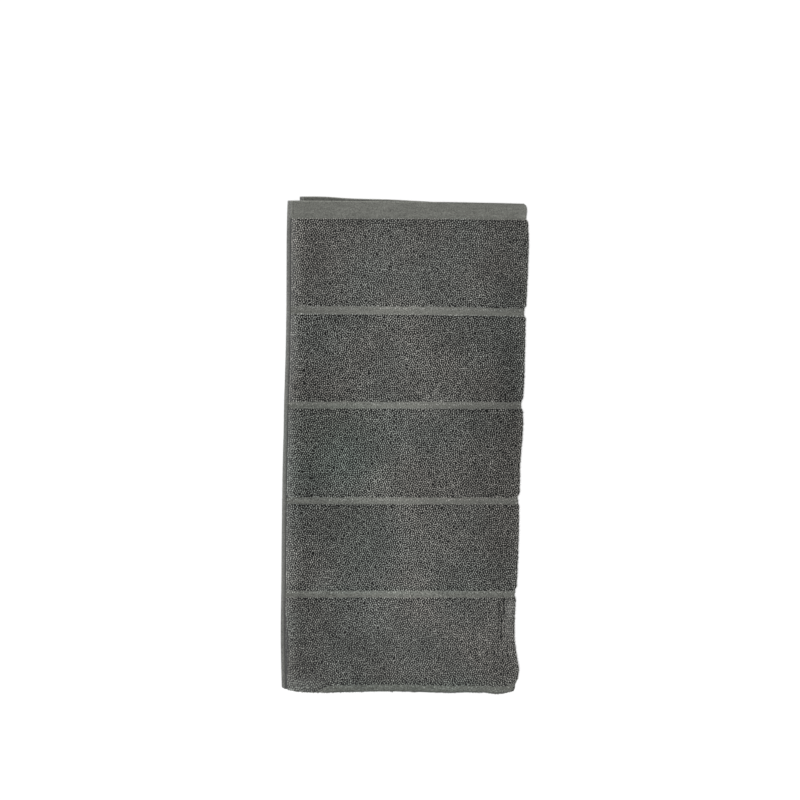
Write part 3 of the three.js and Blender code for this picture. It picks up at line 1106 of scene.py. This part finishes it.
    @staticmethod
    def quads(number: np.ndarray) -> np.ndarray:
        """The faces of a grid of point numbers."""
        corners = (number[:-1, :-1], number[1:, :-1], number[1:, 1:], number[:-1, 1:])
        return np.stack([corner.ravel() for corner in corners], axis=-1)


@dataclass
class ArchSpots:
    """Many small arches of yarn on the flat cloth, with one number for each in every field."""

    across: np.ndarray
    along: np.ndarray
    angle: np.ndarray
    half_length: np.ndarray
    half_width: np.ndarray
    base: np.ndarray
    height: np.ndarray
    lean_across: np.ndarray
    lean_along: np.ndarray
    shade: np.ndarray
    lighter: np.ndarray


@dataclass(frozen=True)
class ArchShape:
    """The shape of one arch: stations along it and rails across it, each with its rise."""

    stations: tuple[tuple[float, float], ...] = ((-1, 0), (-0.55, 0.9), (0.5, 1.0), (1, 0))
    rails: tuple[tuple[float, float], ...] = ((-1, 0.35), (0, 1.0), (1, 0.35))
    middle_height: float = 1.0

    def mesh(
        self, stack: FoldedStack, spots: ArchSpots
    ) -> tuple[np.ndarray, np.ndarray, np.ndarray]:
        """Builds the arches, each squeezed in where it stands on the round fold.

        Args:
            stack: The folded stack that they stand on.
            spots: Where they stand, and how.

        Returns:
            Points in millimetres, faces, and each point's height share on its arch.
        """
        points, shares = [], []
        cosine, sine = np.cos(spots.angle), np.sin(spots.angle)
        near_turn = np.abs(spots.across - stack.front_width) < stack.turn_arc / 2
        at_loops = stack.turn_radius + self.middle_height
        squeeze = np.where(near_turn, stack.turn_radius / at_loops, 1.0)
        for run, rise in self.stations:
            for offset, rail in self.rails:
                share = rise * rail
                reach, beside = spots.half_length * run, spots.half_width * offset
                across = reach * cosine - beside * sine + spots.lean_across * share
                along = reach * sine + beside * cosine + spots.lean_along * share
                outward = spots.base + spots.height * share
                points.append(
                    stack.place(spots.across + across * squeeze, spots.along + along, outward)
                )
                shares.append(np.full(len(spots.across), share))
        count = len(points)
        each = np.stack(points, axis=1).reshape(-1, 3)
        each[:, 2] = np.maximum(each[:, 2], OVER_FLOOR)
        grid = np.arange(count).reshape(len(self.stations), len(self.rails))
        faces = ClothSheet.quads(grid)
        starts = np.arange(len(spots.across)) * count
        quads = (faces[None] + starts[:, None, None]).reshape(-1, 4)
        return each, quads, np.stack(shares, axis=1).ravel()


def soft_noise(
    dice: np.random.Generator, across: np.ndarray, along: np.ndarray, cell: float
) -> np.ndarray:
    """Smooth noise from 0 to 1 over the flat cloth.

    Args:
        dice: Where its numbers come from.
        across: Places across the cloth.
        along: Places along it.
        cell: Size of its cells.

    Returns:
        One value for each place.
    """
    u, v = (across - across.min()) / cell, (along - along.min()) / cell
    grid = dice.random((int(v.max()) + 3, int(u.max()) + 3))
    i, j = v.astype(int), u.astype(int)
    p, q = v - i, u - j
    p, q = p * p * (3 - 2 * p), q * q * (3 - 2 * q)
    top = blend(grid[i, j], grid[i, j + 1], q)
    low = blend(grid[i + 1, j], grid[i + 1, j + 1], q)
    return blend(top, low, p)


def moved_apart(
    across: np.ndarray,
    along: np.ndarray,
    grid: tuple[int, int],
    apart: float,
    rounds: int,
    free: np.ndarray,
) -> tuple[np.ndarray, np.ndarray]:
    """Moves loops that stand too near each other apart, as tufts that share the room do.

    Args:
        across: Their places across the cloth, row by row.
        along: Their places along it.
        grid: Number of rows, and of loops in each.
        apart: The distance that they keep.
        rounds: How many times they are moved.
        free: How freely each moves across, from 0 to 1.

    Returns:
        Their new places across and along.
    """
    reach, pace, far_off, least = 2, 0.3, 1e6, 0.01
    places = np.stack([across, along], axis=-1).reshape(*grid, 2)
    nearby = range(-reach, reach + 1)
    steps = [(i, j) for i in nearby for j in nearby if (i, j) != (0, 0)]
    edge = ((reach, reach), (reach, reach), (0, 0))
    weight = np.stack([free, np.ones_like(free)], axis=-1).reshape(*grid, 2)
    for _ in range(rounds):
        padded = np.pad(places, edge, constant_values=far_off)
        push = np.zeros_like(places)
        for i, j in steps:
            row, column = reach + i, reach + j
            away = places - padded[row : row + grid[0], column : column + grid[1]]
            distance = np.maximum(np.hypot(away[..., 0], away[..., 1]), least)
            push += away / distance[..., None] * np.maximum(apart - distance, 0.0)[..., None]
        places = places + pace * push * weight
    return places[..., 0].ravel(), places[..., 1].ravel()


@dataclass
class TerryPile:
    """The loops of one terry field on the towel's outside, from side hem to lengthwise fold."""

    stack: FoldedStack
    section: Section
    name: str
    seed: int
    column_pitch: float = 2.8
    row_pitch: float = 3.1
    half_length: float = 1.45
    half_width: float = 0.7
    base: float = 0.15
    height: float = 1.35
    lean: float = 0.55
    past_turn: float = 3.0
    late: float = 0.0
    side_gap: float = 2.6
    side_flat: float = 4.0
    side_fade: float = 24.0
    side_light: float = 0.3
    turn_light: float = 0.4
    turn_light_run: float = 5.0
    side_wide: float = 0.15
    top_gap: float = 1.1
    low_gap: float = -1.6
    fringe: float = 1.5
    ragged: float = 0.0
    lump: float = 5.0
    aside: float = 0.7
    onward: float = 0.7
    apart: float = 1.14
    rounds: int = 14
    row_light: float = 0.26
    weft_pitch: float = 4.26
    turned: float = 0.6
    scatter: float = 0.1
    patch: float = 0.3
    patch_cell: float = 34.0
    flat_height: float = 0.72
    height_by_shade: float = 0.34
    height_scatter: float = 0.12
    size_range: tuple[float, float] = (0.8, 1.2)
    lean_scatter: float = 0.35
    turn_pitch_share: float = 0.6
    first_free: float = 0.15
    first_turned: float = 0.3
    rim_free: float = 0.4
    rim_rows: float = 3.0
    parting_ease: float = 6.0
    parting_low: float = 0.8
    parting_shade: float = 0.95
    parting_push: float = 0.6
    pressed_low: float = 0.45
    pressed_wide: float = 0.7
    pressed_shade: float = 0.5

    def spots(self) -> ArchSpots:
        """Where the loops stand, at rest on the flat cloth, each a little different."""
        dice = np.random.default_rng(self.seed)
        stack, cloth = self.stack, self.stack.cloth
        first = cloth.side_hem + self.side_gap
        turn_start = stack.front_width - stack.turn_arc / 2
        turn_end = stack.front_width + stack.turn_arc / 2
        columns = np.concatenate([
            stepped([first, turn_start], self.column_pitch),
            stepped([turn_start, turn_end], self.column_pitch * self.turn_pitch_share)[1:],
            [turn_end + self.past_turn / 2, turn_end + self.past_turn],
        ])
        top = self.section.start + self.late + self.top_gap
        low = self.section.end - self.low_gap
        rows = stepped([top, low], self.row_pitch)
        across, along = (grid.ravel() for grid in np.meshgrid(columns, rows))
        count, grid = len(across), (len(rows), len(columns))
        first_column = across < first + HAIR
        half_row = self.row_pitch / 2
        inner = np.minimum(along - top, low - along) > half_row
        aside = dice.uniform(-self.aside, self.aside, count)
        onward = dice.uniform(-self.onward, self.onward, count)
        free = np.where(first_column, self.first_free, 1.0)
        u = across / self.column_pitch + aside * free
        v = along / self.row_pitch + onward * np.where(inner, 1.0, self.rim_free)
        u, v = moved_apart(u, v, grid, self.apart, self.rounds, free)
        across, along = u * self.column_pitch, v * self.row_pitch
        near_side = 1.0 - soft_share(across, first, first + self.side_fade)
        across = across + cloth.hem_growth(along) * near_side
        last = along > low - half_row
        along = along + np.where(last, dice.uniform(-self.fringe, self.fringe, count), 0.0)
        patch = soft_noise(dice, across, along, self.patch_cell)
        shade = 0.5 + dice.normal(0.0, self.scatter, count)
        shade = shade + self.patch * (patch - 0.5)
        beside = 1.0 - soft_share(across - first, self.side_flat, self.side_fade)
        at_turn = soft_share(across, stack.front_width - self.turn_light_run, stack.front_width)
        by_row = self.row_light * np.cos(2 * math.pi * along / self.weft_pitch)
        turned = dice.normal(0.0, self.turned, count)
        turned = turned * np.where(first_column, self.first_turned, 1.0)
        size = dice.uniform(*self.size_range, (3, count))
        uneven = dice.uniform(-self.height_scatter, self.height_scatter, count)
        uneven = self.height_by_shade * shade + uneven
        tall = self.height * (self.flat_height + uneven)
        at_rim = 1.0 - soft_share(along - top, 0.0, self.rim_rows * self.row_pitch)
        lumps = soft_noise(dice, across, along, self.lump)
        tall = tall * (1.0 + self.ragged * at_rim * (lumps - 0.5))
        return ArchSpots(
            across=across,
            along=along,
            angle=math.pi / 2 + turned,
            half_length=self.half_length * size[0],
            half_width=self.half_width * size[1] * (1.0 + self.side_wide * beside),
            base=np.full(count, self.base),
            height=tall,
            lean_across=dice.normal(0.0, self.lean_scatter, count),
            lean_along=self.lean + dice.normal(0.0, self.lean_scatter, count),
            shade=np.clip(shade, 0.0, 1.0),
            lighter=self.side_light * beside + self.turn_light * at_turn + by_row,
        )

    def worked(self, spots: ArchSpots) -> ArchSpots:
        """Parts and presses the pile where the towel shows it, on its top only.

        Args:
            spots: The loops at rest.

        Returns:
            The same loops, moved, pressed, and darkened with painted shade at the partings.
        """
        middle = self.stack.place(spots.across, spots.along, spots.base + spots.height)
        x, y, z = middle.T
        # Broad painted light and shade, among patches of uneven tone.
        spots.lighter = spots.lighter + soft_places(LIGHTER, x, y)
        top = z > self.stack.middle_height
        for line_x, line_top, line_bottom, width, share in zip(*PARTINGS.values()):
            under_top = soft_share(-y, -line_top - self.parting_ease, -line_top)
            ends = soft_share(y, line_bottom - self.parting_ease, line_bottom) * under_top
            from_line = (x - line_x) / width
            off = np.exp(-(from_line**2)) * ends * share * top
            spots.height = spots.height * (1.0 - self.parting_low * off)
            # Painted shade in the parting.
            spots.shade = spots.shade * (1.0 - self.parting_shade * off)
            near = np.exp(-((from_line / 2) ** 2)) * ends * share * top
            aside = self.parting_push * width * np.sign(from_line)
            spots.across = spots.across + aside * near
            spots.angle = blend(spots.angle, math.pi / 2, near)
        press = np.minimum(soft_places(PRESSED, x, y), 1.0) * top
        spots.height = spots.height * (1.0 - self.pressed_low * press)
        spots.half_width = spots.half_width * (1.0 + self.pressed_wide * press)
        spots.shade = blend(spots.shade, self.pressed_shade, press)
        return spots

    def build(self, material: bpy.types.Material) -> bpy.types.Object:
        """Makes the field's loops as one piece.

        Args:
            material: The finish of the loops.

        Returns:
            The piece.
        """
        spots = self.worked(self.spots())
        shape = ArchShape()
        points, quads, shares = shape.mesh(self.stack, spots)
        each = len(shape.stations) * len(shape.rails)
        numbers = {
            "loop_shade": np.repeat(spots.shade, each),
            "loop_height": shares,
            "lighter": np.repeat(spots.lighter, each),
            "greener": soft_places(GREENER, points[:, 0], points[:, 1]),
        }
        return new_piece(self.name, points, quads, [material], None, numbers)


@dataclass
class SeamStitches:
    """The sewn stitches of the hems, each a short rib of thread on the cloth."""

    stack: FoldedStack
    stitch: float = 3.0
    half_share: float = 0.42
    thread: float = 0.32
    rise: float = 0.28
    bedded: float = 0.08
    from_hem_edge: float = 2.2
    past_side_hem: float = 2.0
    from_side: float = 3.9
    side_start: float = 4.0
    corner_lines: tuple[float, ...] = (2.4, 7.6)
    corner_start: float = 2.2
    corner_end: float = 1.0
    corner_share: float = 0.8

    def line(self, across: np.ndarray, along: np.ndarray, angle: float) -> ArchSpots:
        """Stitches in a row.

        Args:
            across: Their places across the cloth.
            along: Their places along it.
            angle: Which way they run, from across the cloth towards along it.

        Returns:
            The stitches as small arches on the cloth's outside.
        """
        count = len(across)
        return ArchSpots(
            across=across,
            along=along,
            angle=np.full(count, angle),
            half_length=np.full(count, self.stitch * self.half_share),
            half_width=np.full(count, self.thread),
            base=self.stack.cloth.surface(across, along, 1) - self.bedded,
            height=np.full(count, self.rise + self.bedded),
            lean_across=np.zeros(count),
            lean_along=np.zeros(count),
            shade=np.full(count, 0.5),
            lighter=np.zeros(count),
        )

    def build(self, material: bpy.types.Material) -> list[bpy.types.Object]:
        """Makes the stitches of the end hems and of the side hem.

        Args:
            material: The finish of the thread.

        Returns:
            One piece for the end hems and one for the side hem.
        """
        cloth = self.stack.cloth
        reach = self.stack.front_width + self.stack.turn_arc / 2
        across = np.arange(cloth.side_hem + self.past_side_hem, reach, self.stitch)
        along = np.arange(self.side_start, cloth.length - self.side_start, self.stitch)
        seam = cloth.hem - self.from_hem_edge
        ends = [
            self.line(across, np.full(len(across), place), 0.0)
            for place in (seam, cloth.length - seam)
        ]
        sides = [self.line(np.full(len(along), self.from_side), along, math.pi / 2)]
        step = self.stitch * self.corner_share
        down = np.arange(self.corner_start, cloth.hem - self.corner_end, step)
        for place in self.corner_lines:
            for rows in (down, cloth.length - down):
                ends.append(self.line(np.full(len(rows), place), rows, math.pi / 2))
        made = []
        for name, lines in (("end_hem_stitches", ends), ("side_hem_stitches", sides)):
            each = zip(*(vars(line).values() for line in lines))
            columns = [np.concatenate(parts) for parts in each]
            points, quads, _ = ArchShape().mesh(self.stack, ArchSpots(*columns))
            numbers = {"across_mm": points[:, 0], "along_mm": points[:, 1]}
            made.append(new_piece(name, points, quads, [material], None, numbers))
            LOG.info("%s: %d faces", name, len(quads))
        return made


@dataclass
class Towel:
    """The whole folded towel: its sheet, the pile of both outer faces, and its stitches."""

    cloth: FlatCloth = field(default_factory=FlatCloth)
    low_fringe: float = 2.6
    bottom_ragged: float = 1.3
    seed: int = 40

    def build(self) -> None:
        stack = FoldedStack(self.cloth)
        loops = LoopPile().material()
        hem = FlatWeaveFinish("hem_weave", 0.14, streak=0.12, speckle=0.45).material()
        materials = [
            GroundCloth().material(),
            MattedPile().material(),
            FlatWeaveFinish("band_weave", 0.119, streak=0.12, speckle=0.75).material(),
            hem,
            FlatWeaveFinish(
                "side_hem_weave", 0.155, warmth=0.04, threads_per_mm=0.7, speckle=0.5
            ).material(),
        ]
        sheet = ClothSheet(self.cloth, stack).build(materials)
        LOG.info("%s: %d faces", sheet.name, len(sheet.data.polygons))
        with_sheet = []
        terries = [part for part in self.cloth.sections() if part.weave is Weave.TERRY]
        half = len(terries) // 2
        for i, part in enumerate(terries):
            side, number = ("front", i + 1) if i < half else ("back", 2 * half - i)
            late = self.cloth.late_start(i)
            pile = TerryPile(stack, part, f"{side}_pile_{number}", seed=self.seed + i, late=late)
            if i == half - 1:
                pile.fringe = self.low_fringe
            if i == half:
                pile.ragged = self.bottom_ragged
            with_sheet.append(pile.build(loops))
            LOG.info("%s: %d faces", pile.name, len(with_sheet[-1].data.polygons))
        with_sheet += SeamStitches(stack).build(hem)
        flat = (self.cloth.width * MM, self.cloth.length * MM)


@dataclass
class Studio:
    """A pale floor, even light from above, and a camera straight over the towel."""

    floor_side: float = 16.0
    camera_height: float = 4.0
    view_width: float = 1.1429
    centre_x: float = -0.0071
    centre_y: float = 0.0658
    sensor: float = 36.0
    key_strength: float = 2.9
    key_angle: float = 20.0
    key_tilt: tuple[float, float] = (2.0, -3.0)
    sky: float = 0.25

    def build(self) -> None:
        """Makes the floor, the lights and the camera."""
        self.floor()
        self.lights()
        self.camera()

    def floor(self) -> None:
        """Lays the floor just under the towel."""
        half = self.floor_side / 2
        mesh = bpy.data.meshes.new("floor")
        corners = [(-half, -half, 0), (half, -half, 0), (half, half, 0), (-half, half, 0)]
        mesh.from_pydata(corners, [], [(0, 1, 2, 3)])
        mesh.materials.append(FloorFinish().material())
        floor = bpy.data.objects.new("floor", mesh)
        bpy.context.scene.collection.objects.link(floor)

    def lights(self) -> None:
        """Hangs a wide soft light straight above, in a pale room."""
        key = bpy.data.lights.new("key", "SUN")
        key.energy = self.key_strength
        key.angle = math.radians(self.key_angle)
        lamp = bpy.data.objects.new("key", key)
        lamp.rotation_euler = (*(math.radians(turn) for turn in self.key_tilt), 0)
        bpy.context.scene.collection.objects.link(lamp)
        world = bpy.data.worlds.new("room")
        world.use_nodes = True
        background = world.node_tree.nodes["Background"]
        background.inputs["Color"].default_value = (1.0, 1.0, 1.0, 1.0)
        background.inputs["Strength"].default_value = self.sky
        bpy.context.scene.world = world
        bpy.context.scene.view_settings.view_transform = "Standard"

    def camera(self) -> None:
        """Sets a long lens straight above, so that the towel lies as in the photo."""
        lens = bpy.data.cameras.new("camera")
        lens.sensor_width = self.sensor
        lens.lens = self.sensor * self.camera_height / self.view_width
        lens.clip_end = 100.0
        camera = bpy.data.objects.new("camera", lens)
        camera.location = (self.centre_x, self.centre_y, self.camera_height)
        bpy.context.scene.collection.objects.link(camera)
        bpy.context.scene.camera = camera


def main() -> None:
    """Builds the towel and its studio, in order."""
    logging.basicConfig(level=logging.INFO, format="%(name)s: %(message)s")
    Towel().build()
    Studio().build()


if __name__ == "__main__":
    main()
